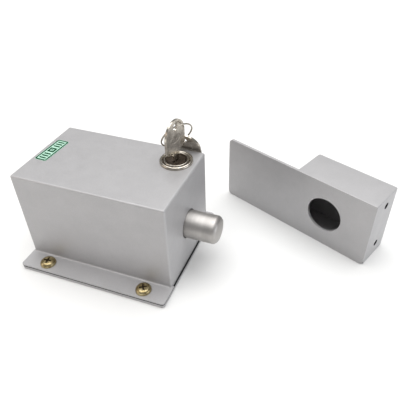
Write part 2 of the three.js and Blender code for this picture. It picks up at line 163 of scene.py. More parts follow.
# Finishes. Every size is in mm: "grain" is that of the colour's clouds, "tooth" of the surface's bumps and
# "depth" their height. "stretch" below 1 draws the pattern out along that axis.

finishes = {
    # silver stove enamel on steel sheet: even pale grey with fine flake and a soft sheen
    "silverEnamel": dict(dark="#b1b0b1", light="#b6b5b6", grain=14, metallic=0.35, rough=(0.42, 0.5),
                         tooth=0.9, depth=0.008, fleck=0.35, fleckTint=0.05),
    # punched edge of the coated sheet: bare steel with burr marks, coloured near black as painted shade where
    # the edges and the gaps round the holes lie in shade
    "bareEdgeAndPaintedShade": dict(dark="#1d1d1e", light="#39393a", grain=1.2, metallic=0.3, rough=(0.6, 0.75),
                        tooth=0.3, depth=0.01),
    # brass plug behind the bezel, and the bezel's groove and well floor: dark brown painted shade, with
    # lighter clouds at random
    "brownPaintedShade": dict(dark="#2a231d", light="#6b5f52", grain=1.6, metallic=0.8, rough=(0.3, 0.5),
                     tooth=0.4, depth=0.006),
    # moulded EPDM rubber: almost black, dull, slightly grainy
    "blackRubber": dict(dark="#121314", light="#1e2022", grain=3, metallic=0, rough=(0.7, 0.88),
                        tooth=0.5, depth=0.02),
    # yellow chromate on zinc plate: straw gold that drifts to brown and green
    "yellowChromate": dict(dark="#85714a", light="#c9bc94", grain=2.2, metallic=1, rough=(0.24, 0.4),
                           tooth=0.5, depth=0.006, drift="#8d7f5e"),
    # turned bright steel: tool rings round the axis, long soft glints
    "turnedSteel": dict(dark="#aaa7a4", light="#bcb9b6", grain=5, metallic=1, rough=(0.46, 0.52),
                        tooth=0.35, depth=0.0012, stretch=(1, 0.04, 0.04)),
    # hard drawn spring wire: grey, slightly oily
    "springWire": dict(dark="#6f7274", light="#9b9ea0", grain=2, metallic=1, rough=(0.25, 0.4),
                       tooth=0.3, depth=0.005),
    # bright zinc plate on pressed steel: blue grey with faint clouds
    "brightZinc": dict(dark="#8f9599", light="#b7bdc2", grain=5, metallic=1, rough=(0.3, 0.46),
                       tooth=0.6, depth=0.008, drift="#a7a9b8"),
    # polished nickel on zinc die casting: warm grey mirror with handling scratches
    "polishedNickel": dict(dark="#a39c92", light="#d0cabf", grain=4, metallic=1, rough=(0.2, 0.28),
                           tooth=0.8, depth=0.0008),
    # machined free cutting brass: yellow with fine lines
    "machinedBrass": dict(dark="#8f6f34", light="#c9a75a", grain=3, metallic=1, rough=(0.25, 0.4),
                          tooth=0.3, depth=0.006, stretch=(0.1, 1, 1)),
    # glass filled nylon: near black, satin, fibre specks
    "blackNylon": dict(dark="#17191c", light="#262a2e", grain=2, metallic=0, rough=(0.42, 0.58),
                       tooth=0.4, depth=0.01),
    # polyester winding tape: amber brown, glossy, with the turns of wire showing through
    "windingTape": dict(dark="#7e3a12", light="#b4622a", grain=4, metallic=0, rough=(0.3, 0.45),
                        tooth=0.6, depth=0.05, stretch=(1, 0.02, 0.02)),
    # silicone lead insulation: deep red with a waxy skin
    "redSilicone": dict(dark="#8a1714", light="#b52a24", grain=2, metallic=0, rough=(0.4, 0.55),
                        tooth=0.4, depth=0.01),
    # printed vinyl: pale mint film with a slight gloss
    "mintVinyl": dict(dark="#a9d6bf", light="#bfe3d1", grain=3, metallic=0, rough=(0.55, 0.65),
                      tooth=0.8, depth=0.004, specular=0.15),
    # screen ink on the vinyl: deep green, a little thicker in places
    "greenInk": dict(dark="#0d3d27", light="#175436", grain=1.5, metallic=0, rough=(0.6, 0.7),
                     tooth=0.4, depth=0.006, specular=0.05),
    # painted shade in a screw's cross recess and the plug's keyway: dark brown, dull
    "recessPaintedShade": dict(dark="#2a2015", light="#54432a", grain=0.6, metallic=0.3, rough=(0.6, 0.8),
                        tooth=0.3, depth=0.01),
}
noise = {                      # shared by every finish
    "cloudDetail": 5.0,
    "cloudRoughness": 0.6,
    "fineDetail": 3.0,
    "range": (0.3, 0.7),       # the part of the noise that lies between the two tones
    "rubScale": 2.2,           # rubbed spots to each cloud
    "patchScale": 0.6,         # patches of drift to each cloud
    "patchDetail": 2.0,
    "patchSeed": 3.0,
    "patchRange": (0.5, 0.7),
    "patchShare": 0.5,
    "specular": 0.5,
}
madeFinishes = {}


def finish(name):
    if name in madeFinishes:
        return madeFinishes[name]
    values = finishes[name]
    grain = values["grain"] * mm
    start, end = noise["range"]
    material = bpy.data.materials.new(name)
    material.use_nodes = True
    tree = material.node_tree
    shader = tree.nodes["Principled BSDF"]
    where = addNode(tree, "TexCoord").outputs["Object"]
    lined = where
    if "stretch" in values:          # grain drawn out along the way the surface was worked
        lined = addNode(tree, "Mapping", {"Vector": where, "Scale": values["stretch"]}).outputs["Vector"]
    clouds = addNode(tree, "TexNoise", {
        "Vector": lined, "Scale": 1 / grain, "Detail": noise["cloudDetail"],
        "Roughness": noise["cloudRoughness"]})
    colour = addNode(tree, "ValToRGB", {"Fac": clouds.outputs["Fac"]}, stops=[
        (start, linear(values["dark"])), (end, linear(values["light"]))]).outputs["Color"]
    if "drift" in values:            # patches of a second tint
        patches = addNode(tree, "TexNoise", {
            "Vector": where, "Scale": noise["patchScale"] / grain, "Detail": noise["patchDetail"],
            "W": noise["patchSeed"]}, noise_dimensions="4D")
        first, last = noise["patchRange"]
        share = addNode(tree, "MapRange", {
            "Value": patches.outputs["Fac"], "From Min": first, "From Max": last,
            "To Max": noise["patchShare"]})
        colour = addNode(tree, "MixRGB", {
            "Fac": share.outputs["Result"], "Color1": colour,
            "Color2": linear(values["drift"])}).outputs["Color"]
    if "fleck" in values:            # aluminium flake, drawn coarser than real so that it shows
        flake = addNode(tree, "TexVoronoi", {"Vector": where, "Scale": 1 / (values["fleck"] * mm)})
        tint = values["fleckTint"]
        tone = addNode(tree, "MapRange", {
            "Value": flake.outputs["Color"], "To Min": 1 - tint, "To Max": 1 + tint})
        colour = addNode(tree, "VectorMath", {0: colour, 1: tone.outputs["Result"]},
                         operation="MULTIPLY").outputs["Vector"]
    tree.links.new(colour, shader.inputs["Base Color"])
    low, high = values["rough"]
    rub = addNode(tree, "TexNoise", {
        "Vector": lined, "Scale": noise["rubScale"] / grain, "Detail": noise["fineDetail"]})
    gloss = addNode(tree, "MapRange", {
        "Value": rub.outputs["Fac"], "From Min": start, "From Max": end, "To Min": low, "To Max": high})
    tree.links.new(gloss.outputs["Result"], shader.inputs["Roughness"])
    tooth = addNode(tree, "TexNoise", {
        "Vector": lined, "Scale": 1 / (values["tooth"] * mm), "Detail": noise["fineDetail"]})
    bump = addNode(tree, "Bump", {"Height": tooth.outputs["Fac"], "Distance": values["depth"] * mm})
    tree.links.new(bump.outputs["Normal"], shader.inputs["Normal"])
    shader.inputs["Metallic"].default_value = values["metallic"]
    shader.inputs["Specular IOR Level"].default_value = values.get("specular", noise["specular"])
    madeFinishes[name] = material
    return material


# Mesh helpers

near = 0.01            # mm: places this close are the same
apart = 1.0            # mm: an edge whose ends are this far apart along an axis runs that way
flat = 0.999           # share of a normal along an axis from which a face lies across it
cornerAngle = 1.0      # rad: an edge that turns further than this is a corner
sameSpot = 1e-6        # m
sameLevel = 2e-5       # m: verts this close in height are on one wall


def boxOf(node):       # low and high corner in mm
    return [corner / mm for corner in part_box(node)]


def middleOf(node):
    return sum(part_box(node), Vector()) / 2 / mm


def standAt(spot, turn=0.0, axis="Z"):       # degrees
    return Matrix.Translation(spot) @ Matrix.Rotation(math.radians(turn), 4, axis)


def edgesWhere(bm, test):
    return [e for e in bm.edges if test(*[v.co / mm for v in e.verts])]


def bevelEdges(bm, edges, radius, steps):
    return bmesh.ops.bevel(bm, geom=edges, offset=radius * mm, offset_type="OFFSET", affect="EDGES",
                           segments=steps, profile=0.5, material=-1, clamp_overlap=True)


def blockBetween(low, high):
    bm = bmesh.new()
    size = Vector(high) - Vector(low)
    middle = (Vector(high) + Vector(low)) / 2
    stretched = Matrix.Translation(middle * mm) @ Matrix.Diagonal(size * mm).to_4x4()
    bmesh.ops.create_cube(bm, size=1, matrix=stretched)
    return bm


def splitFaces(bm, faces, point, normal):
    geom = list(dict.fromkeys(g for f in faces for g in [f, *f.edges, *f.verts]))
    cut = bmesh.ops.bisect_plane(bm, geom=geom, plane_co=point, plane_no=normal, dist=1e-7)
    return [g for g in cut["geom"] if isinstance(g, bmesh.types.BMFace)]


def splitRectangle(bm, faces, halfX, halfY):
    for axis, half in ((axes["x"], halfX), (axes["y"], halfY)):
        for sign in (-1, 1):
            faces = splitFaces(bm, faces, axis * sign * half * mm, axis)
    return [f for f in faces if abs(f.calc_center_median().x) < halfX * mm
            and abs(f.calc_center_median().y) < halfY * mm]


# A round hole in the flat walls that lie across an axis. A square patch of each wall is cut away, and the
# gap between the square and a circle is filled with triangles. Where two walls are cut, a tube joins them.
def roundHole(bm, centre, axis, radius, margin=1.5, side=8, reach=None):
    bm.normal_update()
    normal = axes[axis]
    across = [axes[a] for a in "xyz" if a != axis]
    centre = Vector(centre) * mm
    half = (radius + margin) * mm
    turn = normal.to_track_quat("Z", "Y").to_matrix().to_4x4() @ Matrix.Rotation(math.pi / 4, 4, "Z")

    def spread(point):
        return max(abs((point - centre).dot(direction)) for direction in across)

    def onSquare(vert, level):
        return abs(spread(vert.co) - half) < sameSpot and abs(vert.co.dot(normal) - level) < sameLevel

    walls = [f for f in bm.faces if abs(f.normal.dot(normal)) > flat
             and (reach is None or abs((f.calc_center_median() - centre).dot(normal)) < reach * mm)]
    layers = {}
    for f in walls:
        layers.setdefault(round(f.calc_center_median().dot(normal), 6), []).append(f)
    rims = []
    for level, faces in sorted(layers.items()):
        for direction in across:
            for sign in (-1, 1):
                faces = splitFaces(bm, faces, centre + direction * sign * half, direction)
        patch = [f for f in faces if spread(f.calc_center_median()) < half]
        rim = [e for f in patch for e in f.edges if sum(g in patch for g in e.link_faces) == 1]
        bmesh.ops.delete(bm, geom=patch, context="FACES")
        bmesh.ops.subdivide_edges(bm, edges=[e for e in rim if e.is_valid], cuts=side - 1)
        square = [e for e in bm.edges if e.is_boundary and all(onSquare(v, level) for v in e.verts)]
        middle = centre + normal * (level - centre.dot(normal))
        ring = bmesh.ops.create_circle(bm, segments=4 * side, radius=radius * mm,
                                       matrix=Matrix.Translation(middle) @ turn)
        circle = list(dict.fromkeys(e for v in ring["verts"] for e in v.link_edges))
        bmesh.ops.triangle_fill(bm, use_beauty=True, edges=square + circle)
        rims.append(circle)
    if len(rims) == 2:
        bmesh.ops.bridge_loops(bm, edges=rims[0] + rims[1])


# A body turned about z from an outline of (radius, height) in mm.
def lathe(outline, steps, closed=False):
    bm = bmesh.new()
    verts = [bm.verts.new((r * mm, 0, z * mm)) for r, z in outline]
    pairs = list(zip(verts, verts[1:])) + ([(verts[-1], verts[0])] if closed else [])
    edges = [bm.edges.new(pair) for pair in pairs]
    bmesh.ops.spin(bm, geom=verts + edges, cent=(0, 0, 0), axis=(0, 0, 1), dvec=(0, 0, 0),
                   angle=2 * math.pi, steps=steps, use_merge=True, use_duplicate=False)
    bmesh.ops.remove_doubles(bm, verts=bm.verts, dist=1e-7)
    bmesh.ops.holes_fill(bm, edges=[e for e in bm.edges if e.is_boundary], sides=0)
    bmesh.ops.recalc_face_normals(bm, faces=bm.faces)
    return bm


def capFaces(bm, height):
    return [f for f in bm.faces if abs(f.normal.z) > flat
            and abs(f.calc_center_median().z - height * mm) < sameSpot]


def pushFaces(bm, faces, move):
    grown = bmesh.ops.extrude_face_region(bm, geom=faces)["geom"]
    verts = [g for g in grown if isinstance(g, bmesh.types.BMVert)]
    bmesh.ops.delete(bm, geom=[f for f in faces if f.is_valid], context="FACES")
    bmesh.ops.translate(bm, verts=verts, vec=move)
    return verts, [g for g in grown if isinstance(g, bmesh.types.BMFace)]


def sinkFaces(bm, faces, depth, taper=1.0, index=0):
    verts = pushFaces(bm, faces, place(0, 0, -depth))[0]
    if taper != 1.0:
        middle = sum((v.co for v in verts), Vector()) / len(verts)
        bmesh.ops.scale(bm, verts=verts, vec=(taper, taper, 1), space=Matrix.Translation(-middle))
    for face in {f for v in verts for f in v.link_faces}:
        face.material_index = index


softEdges = {"segments": 3, "angle": 40}      # degrees


# wall and soften are in mm, sharp in degrees; outward says that the faces already point out.
def addPiece(bm, name, body, nodes, looks, matrix=None, wall=0, rim=0, soften=0, sharp=32,
             outward=False):
    if matrix:
        bmesh.ops.transform(bm, matrix=matrix, verts=bm.verts)
    if not outward:
        bmesh.ops.recalc_face_normals(bm, faces=bm.faces)
    mesh = bpy.data.meshes.new(name)
    bm.to_mesh(mesh)
    bm.free()
    mesh.shade_smooth()
    mesh.set_sharp_from_angle(angle=math.radians(sharp))
    for look in looks:
        mesh.materials.append(finish(look))
    piece = bpy.data.objects.new(name, mesh)
    bpy.context.scene.collection.objects.link(piece)
    if wall:
        shell = piece.modifiers.new("wall", "SOLIDIFY")
        shell.thickness, shell.offset, shell.use_even_offset = wall * mm, -1, True
        # the cut sheet takes the next look; the last look has no next one, so it stays as it is
        shell.material_offset_rim = rim
        if not soften:
            piece.modifiers.new("shading", "WEIGHTED_NORMAL").keep_sharp = True
    if soften:
        bevel = piece.modifiers.new("edges", "BEVEL")
        bevel.width, bevel.segments, bevel.profile = soften * mm, softEdges["segments"], 0.5
        bevel.limit_method, bevel.angle_limit = "ANGLE", math.radians(softEdges["angle"])
        bevel.harden_normals = True
        piece.modifiers.new("shading", "WEIGHTED_NORMAL").keep_sharp = False
        mesh.shade_smooth()
        attribute = mesh.attributes.get("sharp_edge")
        if attribute:
            mesh.attributes.remove(attribute)
    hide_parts(*nodes)
    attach(piece, body)
    return piece


# Housing: the folded cover, the plate it stands on, the gasket's and screws' looks

coverForm = {
    "sheet": 1.25, "bend": 1.4, "bendSteps": 6, "fillet": 1.2, "filletSteps": 5,
    "flangeCorner": 2.0, "flangeCornerSteps": 5, "leftInset": 0.2, "rightInset": 1.0, "tuck": 2.8,
    "wallDepth": 68.0, "boltHole": 10.6, "cylinderHole": 9.6, "leadHole": 4.25, "screwHole": 2.6,
    "edge": 0.22,
    "endZone": 45, "endEdge": 5,     # an edge this far out and at least this long is a flange's end
}


def buildCover():
    form = coverForm
    low, high = boxOf("cover")
    left, right = low.x + form["leftInset"], high.x - form["rightInset"]
    half = form["wallDepth"] / 2
    flangeTop = low.z + form["sheet"]
    foot = flangeTop + form["fillet"]
    bm = blockBetween((left, -half, low.z), (right, half, high.z))
    bends = edgesWhere(bm, lambda a, b: abs(a.z - b.z) > apart
                        or (a.z > high.z - apart and b.z > high.z - apart))
    bevelEdges(bm, bends, form["bend"], form["bendSteps"])
    bmesh.ops.delete(bm, geom=[f for f in bm.faces if f.normal.z < -flat], context="FACES")
    for sign in (-1, 1):
        wall = [f for f in bm.faces if f.normal.y * sign > flat]
        lower = splitFaces(bm, wall, place(0, 0, foot), axes["z"])
        strip = [f for f in lower if f.calc_center_median().z < foot * mm]
        bmesh.ops.delete(bm, geom=strip, context="FACES")
        root = edgesWhere(bm, lambda a, b: abs(a.z - foot) < near and abs(b.z - foot) < near
                          and a.y * sign > half - near and b.y * sign > half - near)
        swept = bmesh.ops.spin(bm, geom=root, cent=place(0, sign * (half + form["fillet"]), foot),
                               axis=(sign, 0, 0), dvec=(0, 0, 0), angle=math.pi / 2,
                               steps=form["filletSteps"], use_duplicate=False)["geom_last"]
        line = [g for g in swept if isinstance(g, bmesh.types.BMEdge)]
        out = bmesh.ops.extrude_edge_only(bm, edges=line)["geom"]
        verts = [g for g in out if isinstance(g, bmesh.types.BMVert)]
        bmesh.ops.translate(bm, verts=verts, vec=place(0, sign * (high.y - half - form["fillet"]), 0))
        for end, edgeX in ((-1, low.x), (1, high.x)):
            side = edgesWhere(bm, lambda a, b: abs(a.z - flangeTop) < near and abs(b.z - flangeTop) < near
                              and a.y * sign > half and b.y * sign > half and a.x * end > form["endZone"]
                              and abs(a.y - b.y) > form["endEdge"] and b.x * end > form["endZone"])
            wide = bmesh.ops.extrude_edge_only(bm, edges=side)["geom"]
            tips = [g for g in wide if isinstance(g, bmesh.types.BMVert)]
            for v in tips:
                v.co.x = edgeX * mm
            corner = [v for v in tips if abs(v.co.y) > (high.y - near) * mm]
            wallEnd = right if end > 0 else -left
            inner = edgesWhere(bm, lambda a, b: abs(a.z - flangeTop) < near and abs(b.z - flangeTop) < near
                               and abs(a.y - b.y) < near and half < a.y * sign < half + form["fillet"] + near
                               and min(a.x * end, b.x * end) > wallEnd - form["bend"] - near)
            tucked = bmesh.ops.extrude_edge_only(bm, edges=inner)["geom"]     # runs in under the corner
            bmesh.ops.translate(bm, verts=[g for g in tucked if isinstance(g, bmesh.types.BMVert)],
                                vec=place(0, -sign * form["tuck"], 0))
            bmesh.ops.bevel(bm, geom=corner, offset=form["flangeCorner"] * mm, offset_type="OFFSET",
                            affect="VERTICES", segments=form["flangeCornerSteps"], profile=0.5, material=-1)
    for f in bm.faces:          # the last look; the rings that the holes add keep the first
        f.material_index = 2
    for node in ("cover_screw_1", "cover_screw_2", "cover_screw_3", "cover_screw_4"):
        middle = middleOf(node)
        roundHole(bm, (middle.x, middle.y, flangeTop), "z", form["screwHole"], margin=1.2, side=6, reach=1)
    lock = middleOf("lock_cylinder")
    shaft = middleOf("bolt")
    inlet = middleOf("cable_grommet")
    roundHole(bm, (lock.x, lock.y, high.z), "z", form["cylinderHole"], side=12, reach=1)
    roundHole(bm, (right, shaft.y, shaft.z), "x", form["boltHole"], side=12, reach=1)
    roundHole(bm, (left, inlet.y, inlet.z), "x", form["leadHole"], side=8, reach=1)
    bmesh.ops.recalc_face_normals(bm, faces=bm.faces)
    top = max(bm.faces, key=lambda f: f.calc_center_median().z)
    if top.normal.z < 0:
        bmesh.ops.reverse_faces(bm, faces=bm.faces)
    # the sheet's cut edges and hole rims take the second look, bare steel painted near black as shade
    addPiece(bm, "folded_cover", "housing", ["cover"],
             ["silverEnamel", "bareEdgeAndPaintedShade", "silverEnamel"],
             wall=form["sheet"], rim=1, soften=form["edge"], outward=True)


plateForm = {"corner": 2.0, "cornerSteps": 5, "edge": 0.6, "holeRadius": 2.25,
             "wallHoles": [(-46, -26), (46, -26), (-20, 26), (46, 26)]}


def buildPlate():
    form = plateForm
    low, high = boxOf("base_plate")
    bm = blockBetween(low, high)
    bevelEdges(bm, edgesWhere(bm, lambda a, b: abs(a.z - b.z) > apart), form["corner"], form["cornerSteps"])
    for x, y in form["wallHoles"]:
        roundHole(bm, (x, y, low.z), "z", form["holeRadius"], margin=1, side=5)
    addPiece(bm, "steel_base_plate", "housing", ["base_plate"], ["silverEnamel"],
             soften=form["edge"])


screwForm = {
    "dome": [(5.4, 0.0), (5.4, 0.9), (5.25, 1.5), (4.9, 2.15), (4.3, 2.7)],    # radius, height above the seat
    "flat": 3.3, "head": 3.2, "shank": 2.3, "steps": 40,
    "arm": 2.75, "half": 0.62, "recess": 1.9, "taper": 0.55,                   # the cross
    "turns": (8, 32, 51, 70),                                                  # degrees
}


def buildScrews():
    form = screwForm
    for number, turn in enumerate(form["turns"], 1):
        node = f"cover_screw_{number}"
        low, high = boxOf(node)
        middle = (low + high) / 2
        seat = high.z - form["head"]           # underside of the head
        outline = [(form["shank"], low.z - seat), (form["shank"], 0.0)] + form["dome"]
        outline += [(form["flat"], form["head"])]
        bm = lathe(outline, form["steps"])
        cap = capFaces(bm, form["head"])
        for axis in (axes["x"], axes["y"]):
            for offset in (-form["arm"], -form["half"], form["half"], form["arm"]):
                cap = splitFaces(bm, cap, axis * offset * mm, axis)
        arm, thin = form["arm"] * mm, form["half"] * mm
        cross = [f for f in cap if min(abs(f.calc_center_median().x), abs(f.calc_center_median().y)) < thin
                 and max(abs(f.calc_center_median().x), abs(f.calc_center_median().y)) < arm]
        # the cross recess takes the second look, a dark painted shade
        sinkFaces(bm, cross, form["recess"], taper=form["taper"], index=1)
        addPiece(bm, f"pan_screw_{number}", "housing", [node],
                 ["yellowChromate", "recessPaintedShade"], matrix=standAt(place(middle.x, middle.y, seat), turn),
                 sharp=38)


grommetForm = {
    # radius, and distance in from the outside of the wall
    "outline": [(2.4, -1.6), (4.9, -1.6), (5.4, -1.3), (5.6, -0.8), (5.6, -0.1), (4.1, -0.1), (4.1, 1.35),
                (5.0, 1.35), (5.0, 2.1), (4.7, 2.45), (2.4, 2.45)],
    "lip": 1.6, "steps": 40,
}


def buildGrommet():
    form = grommetForm
    low, high = boxOf("cable_grommet")
    spot = place(low.x + form["lip"], (low.y + high.y) / 2, (low.z + high.z) / 2)
    bm = lathe(form["outline"], form["steps"], closed=True)
    addPiece(bm, "lead_grommet", "housing", ["cable_grommet"], ["blackRubber"],
             matrix=standAt(spot, 90, "Y"))


# Sticker: mint film with a green border, three plain bars at each end and a framed dot between them

stickerForm = {
    "width": 9.4, "length": 26.6, "corner": 1.6, "cornerSteps": 6, "turn": -2.6, "margin": 0.2, "border": 1.1,
    "ink": 0.03, "symbol": 5.2, "stroke": 1.35, "bars": (5.0, 7.6, 10.2), "dotSides": 16,
}


def buildSticker():
    form = stickerForm
    low, high = boxOf("label")
    middle = (low + high) / 2
    thick = high.z - low.z - form["ink"]
    wide, tall = form["width"] / 2, form["length"] / 2
    bm = blockBetween((-wide, -tall, 0), (wide, tall, thick))
    upright = edgesWhere(bm, lambda a, b: abs(a.z - b.z) > thick / 2)
    bevelEdges(bm, upright, form["corner"], form["cornerSteps"])
    top = [f for f in bm.faces if f.normal.z > flat]
    bmesh.ops.inset_region(bm, faces=top, thickness=form["margin"] * mm, use_even_offset=True)
    band = bmesh.ops.inset_region(bm, faces=top, thickness=form["border"] * mm, use_even_offset=True)["faces"]
    for face in band:
        face.material_index = 1
    height = thick + form["ink"] / 2
    size, stroke = form["symbol"], form["stroke"]
    strips = [(0, sign * y, size, stroke) for y in form["bars"] for sign in (1, -1)]    # middle and size
    for side in (stroke / 2 - size / 2, size / 2 - stroke / 2):                         # the dot's frame
        strips += [(side, 0, stroke, size), (0, side, size - 2 * stroke, stroke)]
    inked = []
    for x, y, across, up in strips:
        extent = Matrix.Diagonal(place(across, up, form["ink"])).to_4x4()
        strip = Matrix.Translation(place(x, y, height)) @ extent
        inked += bmesh.ops.create_cube(bm, size=1, matrix=strip)["verts"]
    inked += bmesh.ops.create_cone(bm, cap_ends=True, segments=form["dotSides"], radius1=stroke / 2 * mm,
                                   radius2=stroke / 2 * mm, depth=form["ink"] * mm,
                                   matrix=Matrix.Translation(place(0, 0, height)))["verts"]
    for face in {f for v in inked for f in v.link_faces}:
        face.material_index = 1
    addPiece(bm, "printed_sticker", "housing", ["label"], ["mintVinyl", "greenInk"],
             matrix=standAt(place(middle.x, middle.y, low.z), form["turn"]))


# Bolt: turned bar, its rear end slotted for the plunger's tongue

boltForm = {
    "radius": 10.0, "slot": 5.4, "slotDepth": 12.0, "steps": 96,
    "nose": [(0, 2.45), (0.08, 2.1), (0.882, 0.882), (1.68, 0.12), (1.995, 0)],   # in from the side, the end
}


def buildBolt():
    form = boltForm
    low, high = boxOf("bolt")
    middle = (low + high) / 2
    length, radius = high.x - low.x, form["radius"]
    outline = [(radius, form["slotDepth"])]
    outline += [(radius - inward, length - back) for inward, back in form["nose"]]
    bm = lathe(outline, form["steps"])
    rear = capFaces(bm, form["slotDepth"])
    for sign in (-1, 1):
        rear = splitFaces(bm, rear, axes["y"] * sign * form["slot"] / 2 * mm, axes["y"])
    cheeks = [f for f in rear if abs(f.calc_center_median().y) > form["slot"] / 2 * mm]
    pushFaces(bm, cheeks, place(0, 0, -form["slotDepth"]))
    addPiece(bm, "shoot_bolt", "bolt_train", ["bolt"], ["turnedSteel"],
             matrix=standAt(place(low.x, middle.y, middle.z), 90, "Y"), sharp=25)


# Key cylinder: bezel and barrel in one, the plug with its keyway

cylinderForm = {
    # radius and height above the cover's face
    "bezel": [(11.5, 0.0), (11.5, 0.9), (11.35, 1.4), (10.95, 1.8), (10.4, 2.0), (9.9, 1.95), (9.5, 1.6),
              (9.2, 1.15), (8.85, 1.1), (8.6, 1.35), (8.35, 1.8), (8.05, 1.95), (7.75, 1.85), (7.6, 1.5),
              (7.6, 0.82), (6.65, 0.8), (6.6, 0.6)],
    "shadeRings": ((6.5, 7.62), (8.7, 9.3)), "shadeAbove": 0.5,     # inner and outer radius
    "bore": 6.6, "barrel": 9.4, "lead": 0.5, "groove": 0.45, "pitch": 1.0, "threadTop": -4, "steps": 96,
}
plugForm = {"radius": 6.35, "top": 1.3, "slot": 2.1, "slotWide": 7.6, "slotDepth": 19.5, "square": 5.0,
            "squareLength": 2.6, "rim": 0.35, "steps": 64}


def buildCylinder():
    form = cylinderForm
    low, high = boxOf("lock_cylinder")
    middle = (low + high) / 2
    face = boxOf("cover")[1].z
    bottom = low.z - face
    outline = form["bezel"] + [(form["bore"], bottom), (form["barrel"] - form["lead"], bottom)]
    height = bottom + form["lead"]
    while height < form["threadTop"]:         # thread for the nut
        outline += [(form["barrel"], height), (form["barrel"] - form["groove"], height + form["pitch"] / 2)]
        height += form["pitch"]
    outline += [(form["barrel"], height), (form["barrel"], 0.0)]
    bm = lathe(outline, form["steps"], closed=True)
    for f in bm.faces:                        # painted shade darkens the groove and the well's floor
        where = f.calc_center_median() / mm
        reach = math.hypot(where.x, where.y)
        if where.z > form["shadeAbove"] and any(inner < reach < outer for inner, outer in form["shadeRings"]):
            f.material_index = 1
    # the bezel's groove and well floor take the second look, a brown painted shade
    addPiece(bm, "lock_barrel", "housing", ["lock_cylinder"], ["polishedNickel", "brownPaintedShade"],
             matrix=standAt(place(middle.x, middle.y, face)), sharp=50)
    form = plugForm
    depth = face + form["top"] - boxOf("plug")[0].z - form["squareLength"]
    rim = form["radius"] - form["rim"]
    bm = lathe([(form["radius"], -depth), (form["radius"], -form["rim"]), (rim, 0)], form["steps"])
    keyway = splitRectangle(bm, capFaces(bm, 0), form["slot"] / 2, form["slotWide"] / 2)
    # the keyway's walls and floor take the second look, a dark painted shade
    sinkFaces(bm, keyway, form["slotDepth"], index=1)
    drive = splitRectangle(bm, capFaces(bm, -depth), form["square"] / 2, form["square"] / 2)
    sinkFaces(bm, drive, form["squareLength"])
    # the plug takes a dark brown painted shade over its brass
    addPiece(bm, "lock_plug", "key_plug", ["plug"], ["brownPaintedShade", "recessPaintedShade"],
             matrix=standAt(place(middle.x, middle.y, face + form["top"]), keyForm["turn"]), sharp=30)


# Keys, both alike, and the split ring through their holes

keyForm = {
    "turn": -8.0, "spareTurn": 90.0, "spareTilt": 20.0,     # degrees
    "thick": 1.6, "wide": 22.4, "high": 22.8, "edge": 0.35,
    "dome": 11.1, "domeSteps": 14, "corner": 4.0, "cornerSteps": 6, "holeDrop": 5.0, "hole": 2.5,
    "blade": 7.0, "bladeLength": 26.0, "cuts": (0.9, 0.4, 1.3, 0.6, 1.1, 0.3, 0.8), "tip": 2.2,
    "groove": 0.35, "grooveWide": 1.6, "grooveEnd": 1,
    "badge": (6.6, 3.6), "badgeRise": 0.2, "badgeRoot": 0.1, "badgeTaper": 0.94, "badgeSides": 40,
    "badgeDrop": 13.2, "badgeRim": 0.8, "badgeStep": 0.25, "badgeDip": 0.15,
}


def buildBlade(bm, bottom):
    form = keyForm
    blade = form["blade"] / 2
    sole = [f for f in bm.faces if f.normal.z < -flat]
    for sign in (-1, 1):
        sole = splitFaces(bm, sole, axes["y"] * sign * blade * mm, axes["y"])
    root = [f for f in sole if abs(f.calc_center_median().y) < blade * mm]
    steps = [0, *form["cuts"], form["tip"]]
    for inward in steps:             # the blade grows notch by notch, the narrow tip last
        verts, root = pushFaces(bm, root, place(0, 0, -form["bladeLength"] / len(steps)))
        for v in verts:
            v.co.y = math.copysign((blade - inward) * mm, v.co.y)
    end = bottom - form["bladeLength"] + form["grooveEnd"]
    sides = [f for f in bm.faces if abs(f.normal.x) > flat and f.calc_center_median().z < bottom * mm]
    for sign in (-1, 1):
        sides = splitFaces(bm, sides, axes["y"] * sign * form["grooveWide"] / 2 * mm, axes["y"])
    run = [f for f in sides if abs(f.calc_center_median().y) < form["grooveWide"] / 2 * mm
           and f.calc_center_median().z > end * mm]
    for sign in (-1, 1):
        facing = [f for f in run if f.is_valid and f.normal.x * sign > 0]
        pushFaces(bm, facing, place(-sign * form["groove"], 0, 0))


def buildBadges(bm, top):            # a plain raised oval on each side of the bow
    form = keyForm
    long, short = form["badge"]
    root = form["badgeRoot"]
    for sign in (-1, 1):
        turned = Matrix.Rotation(sign * math.pi / 2, 4, "Y")
        lift = Matrix.Translation(place(sign * (form["thick"] / 2 - root), 0, top - form["badgeDrop"]))
        oval = bmesh.ops.create_cone(
            bm, cap_ends=True, segments=form["badgeSides"], radius1=1, radius2=form["badgeTaper"],
            depth=(form["badgeRise"] + root) * mm,
            matrix=lift @ turned @ Matrix.Diagonal(place(short, long, 1 / mm)).to_4x4())
        bm.normal_update()
        outer = [f for f in {f for v in oval["verts"] for f in v.link_faces} if f.normal.x * sign > 0.95]
        bmesh.ops.inset_region(bm, faces=outer, thickness=form["badgeRim"] * mm, depth=0,
                               use_even_offset=True)
        bmesh.ops.inset_region(bm, faces=outer, thickness=form["badgeStep"] * mm,
                               depth=-form["badgeDip"] * mm, use_even_offset=True)


